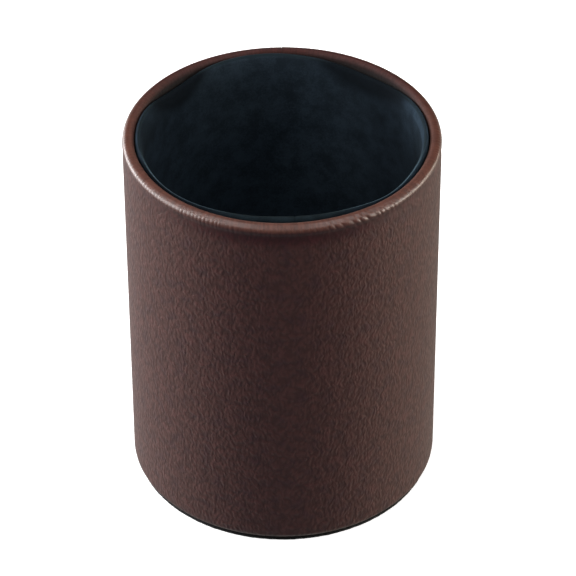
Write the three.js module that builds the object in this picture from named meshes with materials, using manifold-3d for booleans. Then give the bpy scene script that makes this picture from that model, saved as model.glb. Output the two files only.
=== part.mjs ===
// A leather dice cup: a stiff tube covered in one piece of leather that is turned in over the rim and
// under the foot, with a separate velvet-covered sleeve and a velvet-covered floor pushed inside.
// Millimetres, +Z up. The origin is the centre of the underside, the front is -Y and the leather's
// seam is at the back, +Y. Neighbouring pieces keep a glue line between them.
import * as THREE from "three";
import { mergeVertices } from "three/addons/utils/BufferGeometryUtils.js";
import Module from "manifold-3d";

const wasm = await Module();
wasm.setup();

// Driving dimensions.
const OUTER_RADIUS = 37.5; // over the leather
const HEIGHT = 95; // from the table to the top of the rim
const GLUE = 0.1; // glue line between neighbouring pieces
const SEGMENTS = 64; // facets in a full turn
const CORNER_STEPS = 3; // facets in a rounded corner

const FELT = { thickness: 0.9, inset: 0.9 }; // inset from the outside of the leather
const LEATHER = { thickness: 0.75, footRadius: 1.8, rimOuterRadius: 1.4, rimInnerRadius: 1 };
const TURN_IN = 9; // depth of the leather turned down inside the rim
const TURN_UNDER = 8; // width of the leather turned under the foot
const NOTCHES = { count: 24, width: 2, depth: 5.5 }; // V cuts that let the turn-under lie flat
const SEAM = { gap: 0.2, skive: THREE.MathUtils.degToRad(50) }; // slanting joint of the leather's ends
const TUBE_WALL = 1.1;
const CORE_FLOOR = 2.5;
const VELVET = 0.6;
const LINING_CARD = 0.6;
const RIDGE_BELOW_RIM = 0.1; // the lining's folded top edge sits this far under the rim
const LINING_JOINT = { gap: 0.3, azimuth: THREE.MathUtils.degToRad(-85) }; // near the front
const CARD_JOINT_GAP = 0.4;
const CARD_JOINT_AZIMUTH = { lining: Math.PI, infill: 0 };
const FLOOR = { pad: 2, card: 0.8, velvetUnder: 6 };

// Heights, from the table up.
const coverBottom = FELT.thickness + GLUE;
const coreBottom = coverBottom + LEATHER.thickness + GLUE;
const coreTop = HEIGHT - LEATHER.thickness - GLUE;
const wellBottom = coreBottom + CORE_FLOOR + GLUE; // top of the core's floor, where the lining stands
const turnInBottom = HEIGHT - TURN_IN;
const ridgeTop = HEIGHT - RIDGE_BELOW_RIM;

// Radii, from the outside in.
const tubeOuter = OUTER_RADIUS - LEATHER.thickness - GLUE;
const tubeInner = tubeOuter - TUBE_WALL;
const turnInInner = tubeInner - GLUE - LEATHER.thickness;
const foldOuter = turnInInner - GLUE; // outside of the velvet folded behind the lining card
const cardOuter = foldOuter - VELVET - GLUE;
const cardInner = cardOuter - LINING_CARD;
const velvetInner = cardInner - GLUE - VELVET; // the cup's clear bore
const ridgeRadius = (foldOuter - velvetInner) / 2;

const LEFT = Math.PI;
const UP = Math.PI / 2;
const RIGHT = 0;
const DOWN = -Math.PI / 2;

const material = {
  leather: new THREE.MeshStandardMaterial({ color: 0x5a3a34, roughness: 0.48, metalness: 0 }),
  velvet: new THREE.MeshStandardMaterial({ color: 0x11171c, roughness: 0.95, metalness: 0 }),
  felt: new THREE.MeshStandardMaterial({ color: 0x0c0c0d, roughness: 0.97, metalness: 0 }),
  board: new THREE.MeshStandardMaterial({ color: 0x8f8472, roughness: 0.9, metalness: 0 }),
  card: new THREE.MeshStandardMaterial({ color: 0xb9ad96, roughness: 0.88, metalness: 0 }),
  foam: new THREE.MeshStandardMaterial({ color: 0x6d6f70, roughness: 0.98, metalness: 0 }),
};

// Revolves an outline of (radius, height) points round Z. The outline runs anticlockwise, and it
// starts and ends on the axis or closes on itself. Points where two arcs meet are taken once.
function revolve(points) {
  const outline = points.filter((p, i) => i === 0 || p.distanceTo(points[i - 1]) > 1e-6);
  return new THREE.LatheGeometry(outline, SEGMENTS).rotateX(Math.PI / 2);
}

function point(radius, height) {
  return new THREE.Vector2(radius, height);
}

// A plain disc, standing on z = 0.
function disc(radius, thickness) {
  return revolve([point(0, 0), point(radius, 0), point(radius, thickness), point(0, thickness)]);
}

// The points of a path from start, round the corners, to end. A corner is its centre, its radius and
// the directions it turns between.
function pathPoints(start, corners, end) {
  const arcs = corners.map(
    (c) => new THREE.EllipseCurve(c.x, c.y, c.radius, c.radius, c.from, c.to, c.from > c.to),
  );
  return [start, ...arcs.flatMap((arc) => arc.getPoints(CORNER_STEPS)), end];
}

// A tube standing on z = 0, with its top edges rounded and its outer bottom edge too, where round.foot
// isn't 0.
function tube(inner, outer, height, round) {
  const corners = [
    { x: outer - round.foot, y: round.foot, radius: round.foot, from: DOWN, to: RIGHT },
    { x: outer - round.outer, y: height - round.outer, radius: round.outer, from: RIGHT, to: UP },
    { x: inner + round.inner, y: height - round.inner, radius: round.inner, from: UP, to: LEFT },
  ];
  const start = point(outer - round.foot, 0);
  return revolve([...pathPoints(start, corners, point(inner, 0)), start]);
}

// A sheet folded round whatever lies on its left. Its outer face runs from start, round the corners,
// to end.
function foldedSheet(start, corners, end, thickness) {
  const insideCorners = corners.map((c) => ({
    ...c,
    radius: c.radius - thickness,
    from: c.to,
    to: c.from,
  }));
  const outside = pathPoints(start, corners, end);
  const inside = pathPoints(
    behind(end, corners.at(-1).to, thickness),
    insideCorners.reverse(),
    behind(start, corners[0].from, thickness),
  );
  return end.x === 0 ? revolve([...inside, ...outside]) : revolve([...outside, ...inside, start]);
}

// The point behind p, where the face looks along one of the four directions.
function behind(p, facing, distance) {
  const across = Math.round(Math.cos(facing));
  const upward = Math.round(Math.sin(facing));
  return point(p.x - distance * across, p.y - distance * upward);
}

function toSolid(geometry) {
  const bare = geometry.clone().deleteAttribute("normal").deleteAttribute("uv");
  const merged = mergeVertices(bare, 1e-3);
  return new wasm.Manifold(
    new wasm.Mesh({
      numProp: 3,
      vertProperties: merged.attributes.position.array,
      triVerts: new Uint32Array(merged.index.array),
    }),
  );
}

function toGeometry(solid) {
  const mesh = solid.getMesh();
  return new THREE.BufferGeometry()
    .setAttribute("position", new THREE.BufferAttribute(mesh.vertProperties, 3))
    .setIndex(new THREE.BufferAttribute(mesh.triVerts, 1));
}

function cut(geometry, cutters) {
  const solid = cutters.reduce((left, c) => left.subtract(toSolid(c)), toSolid(geometry));
  return toGeometry(solid);
}

// A thin upright blade through a wall of the given radius, which parts a rolled sheet at its joint.
function blade(radius, azimuth, gap, slant = 0) {
  const reach = 8; // longer than any wall is thick, even when the blade slants
  return new THREE.BoxGeometry(reach, gap, 3 * HEIGHT)
    .rotateZ(slant)
    .translate(radius, 0, 0)
    .rotateZ(azimuth);
}

// The V cuts round the inner edge of the leather's turn-under.
function notchCutters(innerRadius) {
  const beyond = 1; // each cut starts this far inside the edge
  const half = (NOTCHES.width / 2) * ((NOTCHES.depth + beyond) / NOTCHES.depth);
  const outline = new THREE.Shape([
    point(innerRadius - beyond, -half),
    point(innerRadius + NOTCHES.depth, 0),
    point(innerRadius - beyond, half),
  ]);
  const settings = { depth: 3 * LEATHER.thickness, bevelEnabled: false };
  const wedge = new THREE.ExtrudeGeometry(outline, settings).translate(0, 0, -LEATHER.thickness);
  return Array.from({ length: NOTCHES.count }, (_, i) =>
    wedge.clone().rotateZ(((i + 0.5) / NOTCHES.count) * 2 * Math.PI),
  );
}

// The leather's outer face, in heights above its own underside.
function leatherCover() {
  const { thickness, footRadius, rimOuterRadius, rimInnerRadius } = LEATHER;
  const top = HEIGHT - coverBottom;
  const edge = OUTER_RADIUS - TURN_UNDER;
  const corners = [
    { x: OUTER_RADIUS - footRadius, y: footRadius, radius: footRadius, from: DOWN, to: RIGHT },
    {
      x: OUTER_RADIUS - rimOuterRadius,
      y: top - rimOuterRadius,
      radius: rimOuterRadius,
      from: RIGHT,
      to: UP,
    },
    {
      x: turnInInner + rimInnerRadius,
      y: top - rimInnerRadius,
      radius: rimInnerRadius,
      from: UP,
      to: LEFT,
    },
  ];
  const end = point(turnInInner, turnInBottom - coverBottom);
  const seam = blade(OUTER_RADIUS, Math.PI / 2, SEAM.gap, SEAM.skive);
  const skin = foldedSheet(point(edge, 0), corners, end, thickness);
  return cut(skin, [...notchCutters(edge), seam]);
}

// The velvet of the lining sleeve, from the edge behind the card, over the top and down the bore.
function liningVelvet() {
  const top = ridgeTop - wellBottom;
  const middle = velvetInner + ridgeRadius;
  const corner = { x: middle, y: top - ridgeRadius, radius: ridgeRadius };
  const corners = [
    { ...corner, from: RIGHT, to: UP },
    { ...corner, from: UP, to: LEFT },
  ];
  const start = point(foldOuter, turnInBottom - wellBottom);
  const sleeve = foldedSheet(start, corners, point(velvetInner, 0), VELVET);
  return cut(sleeve, [blade(middle, LINING_JOINT.azimuth, LINING_JOINT.gap)]);
}

function liningCard() {
  const round = { inner: LINING_CARD / 2, outer: LINING_CARD / 2, foot: 0 };
  const height = ridgeTop - VELVET - GLUE - wellBottom;
  const sleeve = tube(cardInner, cardOuter, height, round);
  return cut(sleeve, [blade(cardInner, CARD_JOINT_AZIMUTH.lining, CARD_JOINT_GAP)]);
}

// Fills the space under the two folded edges, so that the lining stands straight.
function wallInfill() {
  const [inner, outer] = [cardOuter + GLUE, tubeInner - GLUE];
  const top = turnInBottom - GLUE - wellBottom;
  const corners = [point(inner, 0), point(outer, 0), point(outer, top), point(inner, top)];
  const sleeve = revolve([...corners, corners[0]]);
  return cut(sleeve, [blade(inner, CARD_JOINT_AZIMUTH.infill, CARD_JOINT_GAP)]);
}

// The velvet of the floor, folded round its card and a little way underneath.
function floorVelvet(radius) {
  const thickness = FLOOR.card + 2 * (VELVET + GLUE);
  const round = thickness / 2;
  const corner = { x: radius - round, y: round, radius: round };
  const corners = [
    { ...corner, from: DOWN, to: RIGHT },
    { ...corner, from: RIGHT, to: UP },
  ];
  const start = point(radius - FLOOR.velvetUnder, 0);
  return foldedSheet(start, corners, point(0, thickness), VELVET);
}

function piece(name, geometry, look, height) {
  const mesh = new THREE.Mesh(geometry, look);
  mesh.name = name;
  mesh.position.z = height;
  return mesh;
}

// Pieces that are made up together on the bench.
function assembly(height, ...pieces) {
  const group = new THREE.Group().add(...pieces);
  group.position.z = height;
  return group;
}

const tubeHeight = coreTop - coreBottom;
const tubeRound = {
  inner: LEATHER.rimInnerRadius - LEATHER.thickness - GLUE,
  outer: LEATHER.rimOuterRadius - LEATHER.thickness - GLUE,
  foot: LEATHER.footRadius - LEATHER.thickness - GLUE,
};
const shell = assembly(
  coreBottom,
  piece("core_tube", tube(tubeInner, tubeOuter, tubeHeight, tubeRound), material.board, 0),
  piece("core_floor", disc(tubeInner - GLUE, CORE_FLOOR), material.board, 0),
  piece("leather_cover", leatherCover(), material.leather, coverBottom - coreBottom),
);

const foot = assembly(
  0,
  piece("base_felt", disc(OUTER_RADIUS - FELT.inset, FELT.thickness), material.felt, 0),
  piece(
    "base_infill_card",
    disc(OUTER_RADIUS - TURN_UNDER - GLUE, LEATHER.thickness),
    material.card,
    coverBottom,
  ),
);

const lining = assembly(
  wellBottom,
  piece("wall_infill_card", wallInfill(), material.board, 0),
  piece("lining_card", liningCard(), material.card, 0),
  piece("lining_velvet", liningVelvet(), material.velvet, 0),
);

const floorRadius = velvetInner - GLUE;
const floorCardRadius = floorRadius - VELVET - GLUE;
const floor = assembly(
  wellBottom,
  piece("floor_pad", disc(floorRadius, FLOOR.pad), material.foam, 0),
  piece("floor_velvet", floorVelvet(floorRadius), material.velvet, FLOOR.pad + GLUE),
  piece(
    "floor_card",
    disc(floorCardRadius - FLOOR.card / 2, FLOOR.card),
    material.card,
    FLOOR.pad + 2 * GLUE + VELVET,
  ),
);

const cup = new THREE.Group().add(foot, shell, lining, floor);

export default cup;
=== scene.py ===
import math

import bmesh
import bpy
import numpy as np
from mathutils import Matrix, Vector
from mathutils.geometry import tessellate_polygon


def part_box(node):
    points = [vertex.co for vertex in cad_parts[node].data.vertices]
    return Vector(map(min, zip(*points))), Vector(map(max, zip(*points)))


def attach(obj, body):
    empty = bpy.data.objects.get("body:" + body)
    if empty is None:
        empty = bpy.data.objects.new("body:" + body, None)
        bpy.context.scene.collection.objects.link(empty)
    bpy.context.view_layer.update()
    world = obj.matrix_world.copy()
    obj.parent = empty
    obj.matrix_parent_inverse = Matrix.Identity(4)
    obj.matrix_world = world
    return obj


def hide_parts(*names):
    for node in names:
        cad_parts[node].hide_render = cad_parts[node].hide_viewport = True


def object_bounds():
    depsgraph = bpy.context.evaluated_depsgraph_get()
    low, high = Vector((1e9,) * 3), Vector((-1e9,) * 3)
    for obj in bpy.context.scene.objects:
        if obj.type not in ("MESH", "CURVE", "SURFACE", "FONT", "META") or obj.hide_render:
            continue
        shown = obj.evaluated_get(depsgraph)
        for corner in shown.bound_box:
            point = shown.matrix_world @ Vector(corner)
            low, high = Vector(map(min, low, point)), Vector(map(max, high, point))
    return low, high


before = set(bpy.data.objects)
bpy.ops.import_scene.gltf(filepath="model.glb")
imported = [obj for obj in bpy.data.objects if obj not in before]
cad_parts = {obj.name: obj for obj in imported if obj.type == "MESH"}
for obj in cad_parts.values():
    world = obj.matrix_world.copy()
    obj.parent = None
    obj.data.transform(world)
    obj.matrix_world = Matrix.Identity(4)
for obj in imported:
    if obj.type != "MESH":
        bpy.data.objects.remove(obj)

CAD_BOX = [list(corner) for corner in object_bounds()]

# A leather dice cup, +Z up, with its front at -Y and the leather's seam at +Y. Sizes come from the
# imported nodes: each sheet is redrawn in the space that its CAD solid holds. The cup's lengths are in
# millimetres, and those of the floor, the lights and the camera in metres.
MM = 0.001
TURN = 2 * math.pi
BACK = math.pi / 2
FRONT = -math.pi / 2


def extent(node):
    """The largest radius, lowest z and highest z of a round CAD node, in millimetres."""
    low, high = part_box(node)
    return high[0] / MM, low[2] / MM, high[2] / MM


COVER_R, COVER_LOW, COVER_TOP = extent("leather_cover")
TUBE_R, _, _ = extent("core_tube")
LINING_R, LINING_LOW, LINING_TOP = extent("lining_velvet")
FLOOR_R, FLOOR_LOW, FLOOR_TOP = extent("floor_velvet")
CARD_R, CARD_LOW, CARD_TOP = extent("lining_card")
PAD_R, PAD_LOW, PAD_TOP = extent("floor_pad")
FELT_R, FELT_LOW, FELT_TOP = extent("base_felt")
INFILL_R, _, INFILL_TOP = extent("wall_infill_card")
UNDER_R, _, _ = extent("base_infill_card")
GLUE = 0.1  # the gap that the CAD leaves between neighbours
LEATHER = COVER_R - TUBE_R - GLUE  # thickness of the leather
VELVET = 0.6  # thickness of the velvet
TURN_IN_R = INFILL_R - LEATHER  # inner radius of the turned-in leather
UNEVEN = 0.05  # how far a sheet's surface or edge wanders
TINY = 1e-6


# ---------------------------------------------------------------- meshes

def line(start, end, steps):
    """Rows of (r, z, normal r, normal z) along a straight run, with its right side facing out."""
    (r0, z0), (r1, z1) = start, end
    length = math.hypot(r1 - r0, z1 - z0)
    normal = ((z1 - z0) / length, (r0 - r1) / length)
    return [(r0 + (r1 - r0) * t, z0 + (z1 - z0) * t, *normal) for t in np.linspace(0, 1, steps + 1)]


def arc(centre, radius, start_deg, end_deg, steps):
    """Rows of (r, z, normal r, normal z) round a corner."""
    rows = []
    for angle in np.radians(np.linspace(start_deg, end_deg, steps + 1)):
        across, up = math.cos(angle), math.sin(angle)
        rows.append((centre[0] + radius * across, centre[1] + radius * up, across, up))
    return rows


def profile(*runs):
    """One list of rows from runs that meet end to end."""
    rows = [runs[0][0]]
    for run in runs:
        rows += run[1:]
    return np.array(rows)


def along(rows):
    """The distance of each row from the first, along the profile."""
    steps = np.hypot(np.diff(rows[:, 0]), np.diff(rows[:, 1]))
    return np.concatenate([[0], np.cumsum(steps)])


class Ring:
    """One turn of vertices: points is (n, 3) in millimetres, u and v lay it out flat."""

    def __init__(self, points, u, v):
        self.points = points
        self.u = u
        self.v = np.full(len(points), v)


def strip(first, second, start_a, start_b, closed):
    """Faces between two rings, where the second may have twice or half the steps of the first."""
    count_a = len(first.points) - (0 if closed else 1)
    count_b = len(second.points) - (0 if closed else 1)
    if count_b < count_a or len(second.points) == 1:
        return [face[::-1] for face in strip(second, first, start_b, start_a, closed)]
    faces = []
    if len(first.points) == 1:
        for j in range(count_b):
            faces.append([start_a, start_b + (j + 1) % len(second.points), start_b + j])
        return faces
    ratio = count_b // count_a
    for j in range(count_a):
        edge_a = [start_a + j, start_a + (j + 1) % len(first.points)]
        edge_b = [start_b + (j * ratio + k) % len(second.points) for k in range(ratio, -1, -1)]
        faces.append(edge_a + edge_b)
    return faces


def sheet_mesh(name, rings, closed, looped=True, smooth_deg=50):
    """A solid from rings in order. closed says that each ring goes all the way round; looped that
    the last ring joins the first. An open ring's two ends are capped."""
    starts = np.concatenate([[0], np.cumsum([len(r.points) for r in rings])]).astype(int)
    pairs = [(i, i + 1) for i in range(len(rings) - 1)]
    if looped:
        pairs.append((len(rings) - 1, 0))
    faces = []
    for a, b in pairs:
        faces += strip(rings[a], rings[b], int(starts[a]), int(starts[b]), closed)
    points = np.concatenate([r.points for r in rings])
    if not closed:
        for end in (0, -1):
            cap = [int(starts[i] if end == 0 else starts[i + 1] - 1) for i in range(len(rings))]
            for face in tessellate_polygon([[Vector(points[i]) for i in cap]]):
                faces.append([cap[k] for k in face])
    mesh = bpy.data.meshes.new(name)
    mesh.from_pydata((points * MM).tolist(), [], faces)
    lay_flat(mesh, rings, starts)
    work = bmesh.new()
    work.from_mesh(mesh)
    bmesh.ops.recalc_face_normals(work, faces=work.faces)
    work.to_mesh(mesh)
    work.free()
    mesh.shade_smooth()
    mesh.set_sharp_from_angle(angle=math.radians(smooth_deg))
    piece = bpy.data.objects.new(name, mesh)
    bpy.context.scene.collection.objects.link(piece)
    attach(piece, "root")
    return piece


def lay_flat(mesh, rings, starts):
    """Writes the flat layout of a sheet, in which u runs round and v runs along the profile."""
    u = np.concatenate([r.u for r in rings])
    v = np.concatenate([r.v for r in rings])
    layer = mesh.uv_layers.new(name="OFBake")
    corner_vertex = np.empty(len(mesh.loops), dtype=np.int32)
    mesh.loops.foreach_get("vertex_index", corner_vertex)
    corner_u, corner_v = u[corner_vertex], v[corner_vertex]
    for poly in mesh.polygons:
        span = slice(poly.loop_start, poly.loop_start + poly.loop_total)
        low, high = corner_u[span].min(), corner_u[span].max()
        if high - low > 0.5:  # this face crosses from the last column back to the first
            corner_u[span] = np.where(corner_u[span] < 0.5, corner_u[span] + 1, corner_u[span])
    top = max(corner_u.max(), 1)
    layer.data.foreach_set("uv", np.column_stack([corner_u / top, corner_v]).ravel())


def turn_angles(u, joint, gap):
    """Angles of the places u, from 0 to 1, round a sheet that stops gap short of its joint at both ends."""
    gap = gap / COVER_R
    return joint + gap + u * (TURN - 2 * gap)


def ring_points(reach, angle, height):
    """Points at the given distances from the axis and heights."""
    return np.column_stack([reach * np.cos(angle), reach * np.sin(angle), height + 0 * angle])


def waves(angle, seed, counts, offset=0.0):
    """A smooth random curve round the cup, from -1 to 1: one sine for each number of waves."""
    random = np.random.default_rng(seed)
    total = np.zeros_like(angle)
    for count in counts:
        phase, drift = random.uniform(0, TURN), random.uniform(-1, 1)
        total += np.sin(count * angle + phase + drift * offset)
    return total / len(counts)


def around(angle, centre_deg, half_width_deg):
    """1 at one place round the cup, fading away on both sides of it."""
    away = (np.degrees(angle) - centre_deg + 180) % 360 - 180
    return np.exp(-((away / half_width_deg) ** 2))


def swell(angle, *places):
    """The sum of several places, each with its amount, its centre and its half width in degrees."""
    return sum(amount * around(angle, centre, half_width) for amount, centre, half_width in places)


def near(distance, reach):
    """1 at no distance, falling to 0 at reach."""
    return np.clip(1 - distance / reach, 0, 1) ** 2


def bump_between(x, low, high, soft):
    """1 between low and high, fading to 0 over soft on each side."""
    rise = np.clip((x - low) / soft + 1, 0, 1)
    fall = np.clip((high - x) / soft + 1, 0, 1)
    t = np.minimum(rise, fall)
    return t * t * (3 - 2 * t)


# ---------------------------------------------------------------- leather cover

WALL_COLUMNS, RIM_COLUMNS = 480, 1440
SEAM_SPAN, SEAM_STEPS = 0.012, 25  # share of the turn beside the seam, and its columns
FINE_WALL, FINE_RIM = 8, 3.4  # distances below the top where the rows get closer
RIM_OUT, RIM_IN, FOOT = 1.4, 1.0, 1.8  # corner radii
RIM_DEPTH = 1.7  # how far below the top the rim's look starts
SEAM_GAP = 0.03  # between each end of the leather and the middle of the seam
SKIVE = 0.9  # how far back the slanting cut of the leather's ends goes
PUCKERS, FEWER = 230, 120  # puckers in a full turn where closest, and how many fewer where widest
WIDEST, WIDE_SPREAD = math.radians(294), 0.31  # radians: the middle and reach of the widest puckers
PUCKER_HEIGHT = 0.24  # times a pucker's strength
SLANT, BOLD_SLANT = 0.5, 2.0  # turn of the pucker pattern, in radians, for each mm along the sheet
BOLD = (-62, 26)  # degrees: the middle and half width of the boldest puckers
LINING_FRONT = -88  # degrees: the middle of the front, where the lining stands proudest


def leather_columns(count):
    """Places round the cup from 0 to 1, closer together beside the seam."""
    dense = np.linspace(0, SEAM_SPAN, SEAM_STEPS)
    plain = np.linspace(SEAM_SPAN, 1 - SEAM_SPAN, WALL_COLUMNS + 3 - 2 * SEAM_STEPS)
    coarse = np.concatenate([dense, plain[1:-1], 1 - dense[::-1]])
    even = np.linspace(0, 1, len(coarse))
    return np.interp(np.linspace(0, 1, count + 1), even, coarse)


def puckers(angle, past_corner):
    """Narrow rounded ribs with sharp valleys: upright and fine for the most part, and bold, wide and
    slanting at the front right, where more leather was drawn in."""
    wider = -FEWER * WIDE_SPREAD * np.tanh((angle - WIDEST) / WIDE_SPREAD)
    slide = past_corner * (SLANT + BOLD_SLANT * around(angle, *BOLD))
    phase = PUCKERS * angle + wider + 2.5 * waves(angle, 5, (9, 17, 29, 43)) + slide
    rib = np.abs(np.cos(phase / 2)) ** 0.6 - 0.6  # 0.4 on a crest and -0.6 in a valley
    strength = 0.27 + swell(angle, (0.46, *BOLD), (0.06, -150, 30), (-0.18, 90, 80))
    return rib * strength * (1 + 0.9 * waves(angle, 6, (13, 31, 53, 71)))


def leather_rows():
    """The grain side's profile: under the foot, up the wall, over the rim and down inside it."""
    low, top, r = COVER_LOW, COVER_TOP, COVER_R
    under_r = UNDER_R + GLUE
    turn_in_end = INFILL_TOP + GLUE
    return profile(
        line((under_r, low), (r - FOOT, low), 5),
        arc((r - FOOT, low + FOOT), FOOT, -90, 0, 6),
        line((r, low + FOOT), (r, top - FINE_WALL), 44),
        line((r, top - FINE_WALL), (r, top - FINE_RIM), 8),
        line((r, top - FINE_RIM), (r, top - RIM_OUT), 7),
        arc((r - RIM_OUT, top - RIM_OUT), RIM_OUT, 0, 90, 12),
        line((r - RIM_OUT, top), (TURN_IN_R + RIM_IN, top), 2),
        arc((TURN_IN_R + RIM_IN, top - RIM_IN), RIM_IN, 90, 180, 7),
        line((TURN_IN_R, top - RIM_IN), (TURN_IN_R, turn_in_end), 6),
    )


LEATHER_ROWS = leather_rows()
LEATHER_PLACES = along(LEATHER_ROWS)
LEATHER_PATH = 2 * LEATHER_PLACES[-1] + 2 * LEATHER  # the grain side and back again, in mm
RIM_STARTS = LEATHER_PLACES[np.argmax(LEATHER_ROWS[:, 1] > COVER_TOP - RIM_DEPTH)]
CORNER_STARTS = LEATHER_PLACES[np.argmax(LEATHER_ROWS[:, 1] > COVER_TOP - RIM_OUT - TINY)]
INSIDE_STARTS = LEATHER_PLACES[np.argmax(LEATHER_ROWS[:, 2] < -0.5)]


def leather_cover():
    """One skin of leather, with its grain side out and its flesh side against the core."""
    rings = []
    for row, s in zip(LEATHER_ROWS, LEATHER_PLACES):
        at_rim = row[1] > COVER_TOP - FINE_RIM - TINY
        rings.append(leather_ring(*row, RIM_COLUMNS if at_rim else WALL_COLUMNS, s, 0))
    for i in range(len(LEATHER_ROWS) - 1, -1, -3):
        s = 2 * LEATHER_PLACES[-1] + LEATHER - LEATHER_PLACES[i]
        rings.append(leather_ring(*LEATHER_ROWS[i], WALL_COLUMNS, s, LEATHER))
    return sheet_mesh("leather_skin", rings, closed=False)


def leather_ring(r, z, nr, nz, columns, s, depth):
    """One ring of the skin, s along its path. depth is how far under the grain side it lies."""
    u = leather_columns(columns)
    cut_back = SKIVE * depth / LEATHER / COVER_R
    angle = turn_angles(u, BACK + cut_back, SEAM_GAP)
    out = UNEVEN * waves(angle, 1, (2, 3, 5, 8), 0.05 * z)
    if z > COVER_LOW + FOOT / 2:
        out = out + seam_step(u) * (1 if z < COVER_TOP - RIM_IN else 0.4)
    if depth == 0:
        out = out - (groove(z) if nr > 0.9 else 0) + rim_relief(angle, s) + front_lip(angle, s)
    reach = r + (out - depth) * nr
    height = z + (out - depth) * nz + UNEVEN * waves(angle, 2, (3, 4, 7)) * max(nz, 0)
    return Ring(ring_points(reach, angle, height), u, s / LEATHER_PATH)


def groove(z):
    """The shallow groove under the rim, which ends sooner above its deepest line than below it."""
    depth, below_top, reach_up, reach_down = 0.2, 2.3, 0.6, 1.9
    above = z - COVER_TOP + below_top
    return depth * math.exp(-((above / (reach_up if above > 0 else reach_down)) ** 2))


def front_lip(angle, s):
    """The rim's inner edge swells a little round the front."""
    height, half_width = 0.25, 62
    lip = bump_between(s, INSIDE_STARTS - 0.9, INSIDE_STARTS + 0.3, 0.9)
    return height * lip * around(angle, LINING_FRONT, half_width)


def rim_relief(angle, s):
    """Slanting puckers: deepest on the rim's outer corner, fading down the wall and over the top."""
    past_corner = s - CORNER_STARTS
    return PUCKER_HEIGHT * bump_between(past_corner, 0.1, 1.0, 1.7) * puckers(angle, past_corner)


def seam_step(u):
    """The outer end of the leather lies over the inner one, both pared thin."""
    girth = TURN * COVER_R
    before, after = (1 - u) * girth, u * girth  # distance to the seam on either side
    rise, rounded_edge, crease = 0.16 * near(before, 4), 0.12 * near(before, 0.35), 0.12 * near(after, 0.6)
    return rise - rounded_edge - crease


# ---------------------------------------------------------------- velvet, felt and pad

LINING_JOINT = math.radians(-85)  # where the lining's two ends meet
CARD_JOINT = math.pi
LINING_GAP, CARD_GAP = 0.02, 0.2  # between each end and the middle of the joint
LINING_COLUMNS, CARD_COLUMNS = 480, 360
LOOSE, PRESSED = 14, 5  # how far below its edge the sleeve comes loose, and is pressed together
BEHIND_STEPS, FOLD_STEPS = 6, 14  # rows behind the card and round the fold


def lining_drop(angle):
    """How far the sleeve's edge sits low, in mm: it has slipped at the back on either side, and
    stands a little proud at the front."""
    slipped = swell(angle, (2.4, 140, 17), (2.1, 52, 27), (0.75, -140, 22), (0.9, -42, 16))
    proud = 0.2 + 0.25 * around(angle, LINING_FRONT, 20)
    return slipped - proud + 0.06 * waves(angle, 11, (3, 5, 9, 14))


def lining_lean(angle):
    """How far the sleeve's edge leans in from the leather, in mm."""
    return 0.02 + 0.4 * around(angle, LINING_FRONT, 40)


def near_top(z):
    """0 well below the sleeve's edge and 1 at the edge."""
    return np.clip((z - (LINING_TOP - LOOSE)) / LOOSE, 0, 1) ** 2


def pinch(angle, z):
    """How tightly the sleeve's folded edge is pressed together: 1 at most, and less at the front."""
    tightness = np.clip((z - (LINING_TOP - PRESSED)) / PRESSED, 0, 1) ** 1.5
    return tightness * (1 - 0.75 * around(angle, -90, 26))


def lining_rows():
    """The pile side's profile: up behind the card, over its edge and down the bore."""
    top = LINING_TOP
    outer, bore = LINING_R - 0.12, FLOOR_R + GLUE  # a little clear of the leather
    half, middle = (outer - bore) / 2, (outer + bore) / 2
    return profile(
        line((outer, INFILL_TOP + GLUE), (outer, top - half), BEHIND_STEPS),
        arc((middle, top - half), half, 0, 180, FOLD_STEPS),
        line((bore, top - half), (bore, top - 9), 10),
        line((bore, top - 9), (bore, LINING_LOW), 24),
    )


LINING_ROWS = lining_rows()
LINING_PLACES = along(LINING_ROWS)
LINING_PATH = 2 * LINING_PLACES[-1] + 2 * VELVET  # the pile side and back again, in mm
FOLD_STARTS = LINING_PLACES[BEHIND_STEPS]
FOLD_ENDS = LINING_PLACES[BEHIND_STEPS + FOLD_STEPS]


def lining_velvet():
    """The velvet of the lining sleeve, folded over its card, with its pile side out."""
    rings = [lining_ring(*row, s, 0) for row, s in zip(LINING_ROWS, LINING_PLACES)]
    for i in range(len(LINING_ROWS) - 1, -1, -2):
        s = 2 * LINING_PLACES[-1] + VELVET - LINING_PLACES[i]
        rings.append(lining_ring(*LINING_ROWS[i], s, VELVET))
    return sheet_mesh("lining_sleeve", rings, closed=False)


def lining_ring(r, z, nr, nz, s, depth):
    """One ring of the sleeve, s along its path. depth is how far under the pile side it lies."""
    u = np.linspace(0, 1, LINING_COLUMNS + 1)
    angle = turn_angles(u, LINING_JOINT, LINING_GAP)
    out = UNEVEN * near_top(z) * waves(angle, 12, (7, 12, 19, 33), 0.4 * z)
    if depth == 0:  # the pile dips at the joint
        dip, reach = 0.22, 0.5
        from_joint = np.minimum(u, 1 - u) * TURN * COVER_R
        out = out - dip * np.exp(-((from_joint / reach) ** 2))
    pressed = pinch(angle, z)
    out = out * (1 - pressed)
    depth = depth * (1 - 0.4 * pressed)
    bore_side, back_side = (1 - nr) / 2, (1 + nr) / 2
    squeeze = pressed * (0.75 * bore_side - 0.5 * around(angle, -90, 62) * back_side)
    reach = r + (out - depth) * nr - near_top(z) * lining_lean(angle) + squeeze
    height = z + (out - depth) * nz - near_top(z) * lining_drop(angle)
    return Ring(ring_points(reach, angle, height), u, s / LINING_PATH)


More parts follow.
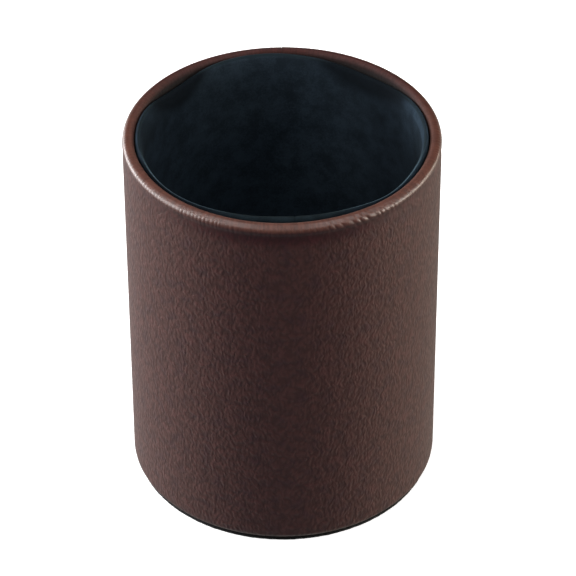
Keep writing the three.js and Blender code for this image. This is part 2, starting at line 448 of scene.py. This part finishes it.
def lining_card():
    """The stiff sleeve inside the velvet's fold, which sits low where the velvet does. Its edge
    stops short of the fold's, so that the velvet can close over it."""
    outer, half = CARD_R - 0.1, 0.25  # half is half of the card's thickness
    inner, loose, top = outer - 2 * half, CARD_TOP - LOOSE, CARD_TOP - 3
    rows = profile(
        line((outer, CARD_LOW), (outer, loose), 8),
        line((outer, loose), (outer, top - half), 10),
        arc((outer - half, top - half), half, 0, 180, 6),
        line((inner, top - half), (inner, loose), 10),
        line((inner, loose), (inner, CARD_LOW), 8),
    )
    u = np.linspace(0, 1, CARD_COLUMNS + 1)
    angle = turn_angles(u, CARD_JOINT, CARD_GAP)
    rings = []
    for (r, z, _, _), s in zip(rows, along(rows)):
        reach = r - near_top(z) * lining_lean(angle)
        height = z - near_top(z) * lining_drop(angle)
        rings.append(Ring(ring_points(reach, angle, height), u, s / along(rows)[-1]))
    return sheet_mesh("lining_card_sleeve", rings, closed=False)


def round_piece(name, rows, count, relief):
    """A closed disc-like piece from a profile that starts and ends on the axis. relief says how far
    the surface stands out at an angle, a radius, a height and a normal."""
    distance = along(rows)
    u = np.linspace(0, 1, count, endpoint=False)
    angle = FRONT + TURN * u
    rings = []
    for (r, z, nr, nz), s in zip(rows, distance):
        if r < TINY:
            rings.append(Ring(np.array([[0.0, 0.0, z]]), np.array([0.5]), s / distance[-1]))
            continue
        out = relief(angle, r, z, nr, nz)
        rings.append(Ring(ring_points(r + out * nr, angle, z + out * nz), u, s / distance[-1]))
    return sheet_mesh(name, rings, closed=True, looped=False)


def floor_velvet():
    """The padded inside floor: velvet drawn over its card and pulled in underneath."""
    edge, pulled_under = (FLOOR_TOP - FLOOR_LOW) / 2, 6
    bend, hem = FLOOR_R - edge, FLOOR_R - pulled_under
    ceiling, inside = FLOOR_TOP - VELVET, FLOOR_LOW + VELVET

    def pillow(angle, r, z, nr, nz):
        """Uneven in the middle, and sunk by a quarter of a millimetre at the edge."""
        if nz < 0.5:
            return 0 * angle
        wander = UNEVEN * waves(angle, 21, (2, 3, 5), 0.3 * r) * min(r / 8, 1)
        return wander - 0.25 * (r / FLOOR_R) ** 6

    rows = profile(
        line((0, ceiling), (bend, ceiling), 12),
        arc_inside((bend, FLOOR_LOW + edge), edge - VELVET, 90, -90, 10),
        line((bend, inside), (hem, inside), 3),
        line((hem, FLOOR_LOW), (bend, FLOOR_LOW), 3),
        arc((bend, FLOOR_LOW + edge), edge, -90, 90, 12),
        line((bend, FLOOR_TOP), (0, FLOOR_TOP), 24),
    )
    return round_piece("floor_velvet_cover", rows, 240, pillow)


def arc_inside(centre, radius, start_deg, end_deg, steps):
    """As arc, for the hollow side of a fold: the face looks towards the centre."""
    return [(r, z, -nr, -nz) for r, z, nr, nz in arc(centre, radius, start_deg, end_deg, steps)]


def base_felt():
    """Pressed felt with a slightly ragged, die-cut edge."""
    soft = 0.22  # radius of its worn corners
    flat = FELT_R - soft

    def ragged(angle, r, z, nr, nz):
        if nr < 0.3:
            return 0 * angle
        return UNEVEN * waves(angle, 31, (23, 47, 81, 112), 2 * z) - 0.03

    rows = profile(
        line((0, FELT_LOW), (flat, FELT_LOW), 12),
        arc((flat, FELT_LOW + soft), soft, -90, 0, 4),
        arc((flat, FELT_TOP - soft), soft, 0, 90, 4),
        line((flat, FELT_TOP), (0, FELT_TOP), 6),
    )
    return round_piece("base_felt_disc", rows, 480, ragged)


def floor_pad():
    """Soft foam disc, squeezed a little round its edge."""
    middle, half = (PAD_LOW + PAD_TOP) / 2, (PAD_TOP - PAD_LOW) / 2
    flat = PAD_R - half

    def crumb(angle, r, z, nr, nz):
        return 0.03 * waves(angle, 41, (5, 9, 15, 27), r + z) - 0.04

    rows = profile(
        line((0, PAD_LOW), (flat, PAD_LOW), 14),
        arc((flat, middle), half, -90, 90, 12),
        line((flat, PAD_TOP), (0, PAD_TOP), 14),
    )
    return round_piece("floor_foam_pad", rows, 180, crumb)


# ---------------------------------------------------------------- materials

class Graph:
    """A material's nodes. A value that is a node's output is linked, and any other is set."""

    def __init__(self, holder, shader, **values):
        holder.use_nodes = True
        self.material = holder
        self.tree = holder.node_tree
        self.shader = self.tree.nodes[shader]
        self.put(self.shader, values)

    def put(self, node, values):
        for key, value in values.items():
            socket = node.inputs[key if isinstance(key, int) else key.replace("_", " ")]
            if isinstance(value, bpy.types.NodeSocket):
                self.tree.links.new(value, socket)
            else:
                socket.default_value = value
        return node

    def add(self, kind, settings=None, **values):
        node = self.tree.nodes.new("ShaderNode" + kind)
        for key, value in (settings or {}).items():
            setattr(node, key, value)
        return self.put(node, values)

    def vector(self, operation, *inputs):
        node = self.add("VectorMath", {"operation": operation})
        return self.put(node, dict(enumerate(inputs)))

    def flat(self, across, up):
        """The sheet's own layout in millimetres, across and up."""
        layout = self.add("UVMap", {"uv_map": "OFBake"}).outputs[0]
        return self.stretch(layout, (across, up, 0))

    def place(self):
        """Position on the object, in millimetres."""
        node = self.vector("SCALE", self.add("TexCoord").outputs["Object"])
        return self.put(node, {"Scale": 1 / MM}).outputs[0]

    def xyz(self, vector):
        return tuple(self.add("SeparateXYZ", Vector=vector).outputs)

    def stretch(self, vector, factors):
        return self.vector("MULTIPLY", vector, factors).outputs[0]

    def shift(self, vector, by, amount):
        """vector moved by the coloured noise by, about its middle, times amount."""
        centred = self.vector("SUBTRACT", by, (0.5, 0.5, 0.5)).outputs[0]
        return self.vector("MULTIPLY_ADD", centred, (amount, amount, amount), vector).outputs[0]

    def noise(self, vector, scale, detail=3, roughness=0.5, output="Fac"):
        node = self.add("TexNoise", Vector=vector, Scale=scale, Detail=detail, Roughness=roughness)
        return node.outputs[output]

    def cells(self, vector, scale, feature):
        node = self.add("TexVoronoi", {"feature": feature}, Vector=vector, Scale=scale)
        return node.outputs["Distance"]

    def ramp(self, value, *stops):
        """A colour ramp through (position, colour) stops."""
        node = self.add("ValToRGB", Fac=value)
        marks = node.color_ramp.elements
        while len(marks) < len(stops):
            marks.new(0.5)
        for mark, (position, colour) in zip(marks, stops):
            mark.position = position
            mark.color = rgba(*colour)
        return node.outputs["Color"]

    def span(self, value, low, high, to_low=0.0, to_high=1.0):
        """A smooth change from to_low, where value is at low, to to_high, where it is at high."""
        node = self.add("MapRange", {"interpolation_type": "SMOOTHSTEP"}, Value=value)
        limits = {"From Min": low, "From Max": high, "To Min": to_low, "To Max": to_high}
        return self.put(node, limits).outputs["Result"]

    def math(self, operation, *inputs):
        node = self.add("Math", {"operation": operation})
        return self.put(node, dict(enumerate(inputs))).outputs[0]

    def plus(self, a, b):
        return self.math("ADD", a, b)

    def minus(self, a, b):
        return self.math("SUBTRACT", a, b)

    def times(self, first, *others):
        for other in others:
            first = self.math("MULTIPLY", first, other)
        return first

    def mix(self, factor, a, b, how="MIX"):
        node = self.add("Mix", {"data_type": "RGBA", "blend_type": how})
        return self.put(node, {0: factor, 6: a, 7: b}).outputs[2]

    def tint(self, colour, factors, where=1.0):
        """colour times factors, as far as where says."""
        return self.mix(where, colour, factors, "MULTIPLY")

    def bump(self, height, depth_mm):
        return self.add("Bump", Strength=1.0, Distance=depth_mm * MM, Height=height).outputs["Normal"]


def surface(name, **values):
    """The graph of a new material."""
    return Graph(bpy.data.materials.new(name), "Principled BSDF", **values)


def rgba(*rgb):
    return (*rgb, 1.0)


def shade(colour, factor):
    """colour made paler or darker, as a node takes it."""
    return rgba(*(factor * part for part in colour))


LEATHER_BROWNS = (
    (0.36, (0.052, 0.0180, 0.0170)),
    (0.50, (0.060, 0.0205, 0.0160)),
    (0.64, (0.070, 0.0230, 0.0190)),
)
# The rim's brown at the front, and the same rim painted darker at the back: painted shade.
RIM_FRONT, RIM_BACK_SHADED = (0.092, 0.0325, 0.0220), (0.046, 0.0114, 0.0092)
# Near black: painted shade on the turned-in leather, deepening towards the velvet.
TURNED_IN_SHADE = (0.007, 0.0035, 0.0035)
PILE, NAP = (0.0138, 0.0224, 0.0325), (0.36, 0.52, 0.60)  # the velvet's ground and its sheen
CREST, CREST_CORNER_HIGHLIGHT = (0.0118, 0.0186, 0.0228), (0.056, 0.091, 0.112)  # painted colours along the velvet's fold crest: about the pile's own tone, and a painted highlight at the front corners
LIT_SPOT = (11, 30, LINING_TOP - 30)  # a place on the lining's back round which the pile is painted paler: painted light


def leather_material():
    """Upright pebbles with pale crests, which are in part a painted highlight, smoothed out where the
    leather is drawn over the rim. Painted shade darkens the wall under the front of the rim, the back of
    the rim and the turned-in edge.
    """
    g = surface("leather", Specular_IOR_Level=0.5, IOR=1.45, Coat_Roughness=0.42, Coat_IOR=1.45)
    sheet = g.flat(TURN * COVER_R, LEATHER_PATH)
    _, path, _ = g.xyz(sheet)
    x, y, _ = g.xyz(g.place())
    aside = g.math("ABSOLUTE", x)
    at_back = g.span(y, 0, 26)
    at_rim = g.span(path, RIM_STARTS, RIM_STARTS + 1.4)
    inside = g.span(path, INSIDE_STARTS - 1.3, INSIDE_STARTS - 0.2)

    drift = g.shift(sheet, g.noise(sheet, 0.3, 2, output="Color"), 1.4)
    drift = g.shift(drift, g.noise(drift, 0.8, 2, output="Color"), 0.5)
    pebble = g.cells(g.stretch(drift, (1, 0.62, 1)), 1.2, "SMOOTH_F1")
    crease = g.noise(g.stretch(drift, (1.2, 0.6, 1)), 1.3, 0.5, 0.4)
    pores = g.noise(sheet, 3.2, 3, 0.6)
    grain = g.plus(g.minus(g.times(crease, 0.9), g.times(pebble, 0.75)), g.times(pores, 0.15))
    gathered = g.shift(sheet, g.noise(sheet, 0.6, 1, output="Color"), 0.8)
    pleats = g.noise(g.stretch(gathered, (1.7, 0.3, 1)), 1.0, 2, 0.5)
    drawn_flat = g.span(path, RIM_STARTS - 5, RIM_STARTS + 1)
    relief = g.times(grain, g.span(drawn_flat, 0, 1, 1, 0.12))
    relief = g.plus(relief, g.times(pleats, at_rim, 0.35))
    relief = g.plus(relief, g.times(pores, at_rim, 0.3))

    brown = g.ramp(g.noise(drift, 0.3, 3, 0.55), *LEATHER_BROWNS)
    # Pebble crests paler and greyer, valleys darker: in part the grain's own tone, in part a painted
    # highlight on the crests and painted shade in the valleys.
    valley, crest = g.tint(brown, rgba(0.78, 0.78, 0.80)), g.tint(brown, rgba(1.14, 1.24, 1.34))
    wall = g.mix(g.span(grain, 0, 0.4), valley, crest)
    # Painted shade: the wall just under the rim is painted darker and redder, strongly at the front and
    # faintly at the sides.
    under_rim_shade = g.times(
        g.span(path, RIM_STARTS - 5, RIM_STARTS - 1),
        g.span(path, RIM_STARTS + 0.1, RIM_STARTS + 0.8, 1, 0),
        g.span(aside, 14, 34, 0.9, 0.15),
    )
    wall = g.tint(wall, rgba(0.52, 0.2, 0.26), under_rim_shade)
    # Painted shade: the rim is painted darker towards the back.
    rim = g.mix(at_back, rgba(*RIM_FRONT), rgba(*RIM_BACK_SHADED))
    rim = g.tint(rim, g.span(pleats, 0.36, 0.64, 0.8, 1.16))
    # Painted shade: past the rim's inner corner the leather fades to near black down into the gap by the
    # velvet.
    rim = g.mix(g.span(path, INSIDE_STARTS - 0.6, INSIDE_STARTS + 1.7), rim, rgba(*TURNED_IN_SHADE))

    roughness = g.plus(g.span(grain, 0, 0.5, 0.5, 0.42), g.times(at_rim, -0.13))
    roughness = g.plus(roughness, g.times(inside, 0.4))
    roughness = g.plus(roughness, g.times(at_rim, g.span(aside, 2, 11, 0.2, 0)))
    roughness = g.plus(roughness, g.times(at_back, 0.1))
    polished = g.times(at_rim, g.minus(1.0, inside), g.minus(1.0, at_back), g.span(aside, 2, 14, 0, 0.8))
    g.put(g.shader, {
        "Base Color": g.mix(at_rim, wall, rim), "Roughness": roughness,
        "Normal": g.bump(relief, 0.18), "Coat Weight": polished,
    })
    return g.material


def velvet_material(name, folded):
    """Short pile brushed paler and darker in random patches, painted darker towards the right and painted
    paler near the top of the right side and high on the back wall: painted shade and painted light. A
    folded sheet has the fold's painted tones too.
    """
    g = surface(
        name, Roughness=0.95, Specular_IOR_Level=0.08, Sheen_Weight=0.03,
        Sheen_Roughness=0.3, Sheen_Tint=rgba(*NAP),
    )
    where = g.place()
    x, y, z = g.xyz(where)
    tuft = g.noise(where, 2.2, 4, 0.7)
    brushed = g.noise(where, 0.22, 4, 0.6)
    nap_way = g.plus(g.times(brushed, 0.6), g.times(tuft, 0.4))
    colour = g.mix(g.span(nap_way, 0.35, 0.65), shade(PILE, 0.7), shade(PILE, 1.4))

    # Painted shade and light: the pile is painted darker towards the right, and painted paler again near
    # the top of the right side, where that wall catches the light.
    painted_glow_right = g.times(
        g.span(z, LINING_TOP - 16, LINING_TOP - 2, 0, 0.85),
        g.span(x, 22, 31),
        g.span(y, 12, 22, 1, 0),
    )
    colour = g.tint(colour, g.plus(g.span(x, 5, 30, 1, 0.55), painted_glow_right))
    # Painted light: the pile is painted paler high on the back wall and round one place on it.
    from_lit_spot = g.vector("DISTANCE", where, LIT_SPOT).outputs["Value"]
    at_back = g.times(g.span(z, LINING_TOP - 27, LINING_TOP - 14), g.span(y, 20, 30))
    painted_light = g.math("MAXIMUM", g.span(from_lit_spot, 6, 19, 1, 0), at_back)
    colour = g.tint(colour, rgba(1.3, 1.25, 1.2), painted_light)
    if folded:
        colour = fold_tones(g, colour, tuft, x, y, z)
    height = g.plus(g.times(tuft, 0.7), g.times(brushed, 0.4))
    g.put(g.shader, {"Base Color": colour, "Normal": g.bump(height, 0.06)})
    return g.material


def fold_tones(g, colour, tuft, x, y, z):
    """Adds the fold's painted tones: a painted highlight along its crest, and painted shade beside it on
    both sides, at the front and where the sleeve has slipped low.
    """
    middle = 0.36 * FOLD_STARTS + 0.64 * FOLD_ENDS
    half = (FOLD_ENDS - FOLD_STARTS) / 2
    # Near-black pile colour for the painted shade round the fold.
    dark = shade(PILE, 0.2)
    _, path, _ = g.xyz(g.flat(1, LINING_PATH))
    aside = g.math("ABSOLUTE", x)
    down = g.minus(path, g.span(x, 20, 30, 0, 1.4 * half))
    # Painted shade: the bore wall just below the fold is painted dark, more at the front than at the back.
    below = g.times(
        g.span(down, middle + 0.15 * half, middle + 0.7 * half),
        g.span(down, middle + 4 * half, middle + 10 * half, 1, 0),
        g.span(y, 0, 22, 0.6, 0),
    )
    colour = g.mix(below, colour, dark)

    at_corners = g.times(g.span(aside, 8, 18), g.span(y, -15, -5, 1, 0))
    from_crest = g.math("ABSOLUTE", g.minus(path, middle))
    # Painted highlight: the pile along the fold's crest is painted paler, most at the front corners.
    crest_highlight = g.times(g.span(from_crest, 0.15 * half, 0.5 * half, 1, 0), g.span(tuft, 0.3, 0.7, 0.5, 1.2))
    colour = g.mix(crest_highlight, colour, g.mix(at_corners, rgba(*CREST), rgba(*CREST_CORNER_HIGHLIGHT)))

    # Painted shade: the fold's front middle is painted darker.
    in_front = g.times(
        g.span(aside, 10, 19, 1, 0),
        g.span(path, middle + 2 * half, middle + 4 * half, 1, 0),
        g.span(y, -10, 0, 1, 0),
    )
    colour = g.tint(colour, rgba(0.6, 0.62, 0.55), in_front)
    # Painted shade: the fold's outer flank, towards the leather, is painted dark at the front corners,
    # mostly on the left.
    behind = g.times(
        g.span(path, middle - 0.5 * half, middle - 0.15 * half, 0.9, 0),
        at_corners,
        g.span(x, -6, 14, 1, 0.25),
    )
    colour = g.mix(behind, colour, dark)
    # Painted shade: where the sleeve's edge has slipped low, the pile round it is painted dark.
    past_crest = g.math("MAXIMUM", g.minus(path, middle + 0.3 * half), 0.0)
    sunk = g.minus(g.minus(LINING_TOP - 0.3, past_crest), z)
    return g.mix(g.span(sunk, 0.25, 1.1, 0, 0.85), colour, dark)


def felt_material():
    """Black matted wool."""
    g = surface("felt", Roughness=0.98, Specular_IOR_Level=0.1, Sheen_Weight=0.12, Sheen_Roughness=0.6)
    where = g.place()
    matted = g.noise(g.shift(where, g.noise(where, 1.2, 2, output="Color"), 1.5), 2.4, 5, 0.7)
    colour = g.mix(g.span(matted, 0.3, 0.7), rgba(0.0022, 0.0022, 0.0024), rgba(0.009, 0.009, 0.0095))
    g.put(g.shader, {"Base Color": colour, "Normal": g.bump(matted, 0.15)})
    return g.material


def board_material(name, pale, dark, ply=None):
    """Pulp board. A wound one shows the spiral joints of its plies, which climb ply mm in a turn."""
    g = surface(name, Specular_IOR_Level=0.3)
    where = g.place()
    pulp = g.noise(where, 0.9, 6, 0.7)
    fibre = g.noise(g.stretch(where, (0.5, 0.5, 3.0)), 1.6, 4, 0.65)
    mottle = g.plus(g.times(pulp, 0.6), g.times(fibre, 0.4))
    colour = g.mix(g.span(mottle, 0.36, 0.64), rgba(*dark), rgba(*pale))
    if ply:
        x, y, z = g.xyz(where)
        climb = g.plus(g.times(z, 1 / ply), g.times(g.math("ARCTAN2", y, x), 1 / TURN))
        from_joint = g.math("ABSOLUTE", g.minus(g.math("FRACT", climb), 0.5))
        colour = g.mix(g.span(from_joint, 0, 0.012, 0.75, 0), colour, shade(dark, 0.4))
    g.put(g.shader, {
        "Base Color": colour, "Roughness": g.span(pulp, 0.3, 0.7, 0.82, 0.95),
        "Normal": g.bump(fibre, 0.05),
    })
    return g.material


def foam_material():
    """Grey foam with small open cells."""
    g = surface("foam", Roughness=0.97, Specular_IOR_Level=0.15)
    # Painted shade: the open cells are painted darker than the foam round them.
    holes = g.span(g.cells(g.place(), 2.2, "DISTANCE_TO_EDGE"), 0.02, 0.22)
    colour = g.mix(holes, rgba(0.19, 0.19, 0.2), rgba(0.07, 0.07, 0.075))
    g.put(g.shader, {"Base Color": colour, "Normal": g.bump(g.minus(1.0, holes), 0.25)})
    return g.material


# ---------------------------------------------------------------- the cup

def dress(piece, material, slot, *nodes):
    """Gives a piece its material, in place of the CAD nodes named. slot is not used."""
    piece.data.materials.clear()
    piece.data.materials.append(material)
    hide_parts(*nodes)
    return piece


def redress(node, material):
    """Gives a CAD node that stays a better material."""
    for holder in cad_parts[node].material_slots:
        holder.material = material


velvet = velvet_material("velvet", True)
floor_pile = velvet_material("floor_pile", False)
skin = dress(leather_cover(), leather_material(), "leather", "leather_cover")
sleeve = dress(lining_velvet(), velvet, "velvet", "lining_velvet")
inside_floor = dress(floor_velvet(), floor_pile, "velvet", "floor_velvet")
felt = dress(base_felt(), felt_material(), "felt", "base_felt")
pad = dress(floor_pad(), foam_material(), "foam", "floor_pad")

GREY_BOARD = (0.30, 0.25, 0.18), (0.17, 0.14, 0.10)
millboard = board_material("millboard", *GREY_BOARD, ply=40)
plain_board = board_material("plain_board", *GREY_BOARD)
manila = board_material("manila", (0.50, 0.42, 0.29), (0.36, 0.30, 0.20))
dress(lining_card(), manila, "card", "lining_card")
redress("core_tube", millboard)
redress("core_floor", plain_board)
redress("wall_infill_card", plain_board)
redress("floor_card", manila)
redress("base_infill_card", manila)


# ---------------------------------------------------------------- floor, light and camera

MIDDLE = Vector((0, 0, (CAD_BOX[0][2] + CAD_BOX[1][2]) / 2))
FLOOR_REACH, FLOOR_GAP = 6.0, 0.0001
EYE_ELEVATION, EYE_DISTANCE, ROLL = math.radians(37.95), 0.801, math.radians(-0.29)
LENS, SHIFT = 205.9, (0.0090, 0.0097)
TABLE_LEFT, TABLE_RIGHT, TABLE_FRONT, ROOM = 0.64, 0.48, 0.15, 0.01  # brightness all round
TABLE_FRONT_FADE = (0.1, 0.7)  # how far forward the table starts to darken, and is darkest


def studio_floor():
    """A wide pale floor just under the felt, which casts no light on the cup."""
    reach = FLOOR_REACH
    corners = [(-reach, -reach, 0), (reach, -reach, 0), (reach, reach, 0), (-reach, reach, 0)]
    mesh = bpy.data.meshes.new("studio_floor")
    mesh.from_pydata(corners, [], [(0, 1, 2, 3)])
    floor = bpy.data.objects.new("studio_floor", mesh)
    bpy.context.scene.collection.objects.link(floor)
    g = surface("pale_floor", Roughness=0.9, Specular_IOR_Level=0.1)
    g.put(g.shader, {
        "Base Color": g.mix(g.noise(g.place(), 0.02, 2), rgba(0.86, 0.86, 0.86), rgba(0.9, 0.9, 0.9)),
        "Emission Color": rgba(1, 1, 1), "Emission Strength": 0.7,
    })
    mesh.materials.append(g.material)
    floor.location.z = -FLOOR_GAP
    floor.visible_diffuse = False
    floor.visible_glossy = False


def soft_light(name, azimuth, elevation, distance, width, height, power, colour=(1, 1, 1)):
    """An area light aimed at the middle of the cup, with its power in watts. Azimuth 0 is the front
    and 90 the right."""
    data = bpy.data.lights.new(name, "AREA")
    data.shape, data.size, data.size_y = "RECTANGLE", width, height
    data.energy, data.color = power, colour
    light = bpy.data.objects.new(name, data)
    bpy.context.scene.collection.objects.link(light)
    a, e = math.radians(azimuth), math.radians(elevation)
    away = Vector((math.sin(a) * math.cos(e), -math.cos(a) * math.cos(e), math.sin(e)))
    light.location = MIDDLE + away * distance
    light.rotation_mode = "QUATERNION"
    light.rotation_quaternion = away.to_track_quat("Z", "Y")


def camera():
    """A long lens that looks down at the front."""
    data = bpy.data.cameras.new("camera")
    eye = bpy.data.objects.new("camera", data)
    bpy.context.scene.collection.objects.link(eye)
    back = Vector((0, -math.cos(EYE_ELEVATION), math.sin(EYE_ELEVATION)))
    eye.location = MIDDLE + back * EYE_DISTANCE
    eye.rotation_mode = "QUATERNION"
    roll = Matrix.Rotation(ROLL, 4, "Z").to_quaternion()
    eye.rotation_quaternion = back.to_track_quat("Z", "Y") @ roll
    data.sensor_width = 36
    data.lens = LENS
    data.shift_x, data.shift_y = SHIFT
    data.clip_start, data.clip_end = 0.05, 20
    bpy.context.scene.camera = eye


def surroundings():
    """A dim room over a pale table that is darker towards the front."""
    world = bpy.data.worlds.new("world")
    bpy.context.scene.world = world
    g = Graph(world, "Background", Strength=1.0)
    x, y, z = g.xyz(g.add("TexCoord").outputs["Generated"])
    left, right = shade((1, 0.96, 0.93), TABLE_LEFT), shade((1, 0.96, 0.84), TABLE_RIGHT)
    sides = g.mix(g.span(x, -0.3, 0.3), left, right)
    front = g.span(g.times(y, -1.0), *TABLE_FRONT_FADE)
    table = g.mix(front, sides, shade((0.8, 0.95, 1.2), TABLE_FRONT))
    g.put(g.shader, {"Color": g.mix(g.span(z, -0.1, 0.1), table, rgba(ROOM, ROOM, ROOM))})


studio_floor()
camera()
soft_light("left", -82, 26, 0.7, 0.28, 0.7, 4.5)
soft_light("right", 80, 26, 0.7, 0.2, 0.6, 2.1, (1, 0.96, 0.92))
soft_light("near_left", -60, 32, 0.7, 0.12, 0.5, 0.6)
soft_light("low_left", -118, 8, 0.7, 0.5, 0.25, 4.8)
soft_light("low_right", 100, 5, 0.7, 0.5, 0.2, 2.4, (1, 0.94, 0.8))
soft_light("near_right", 74, 5, 0.7, 0.2, 0.2, 1.05, (1, 0.93, 0.8))
soft_light("overhead", 0, 86, 0.9, 0.8, 0.8, 4.0)
soft_light("above_front", 0, 58, 0.8, 0.6, 0.4, 1.05)
surroundings()
bpy.context.scene.view_settings.view_transform = "Standard"
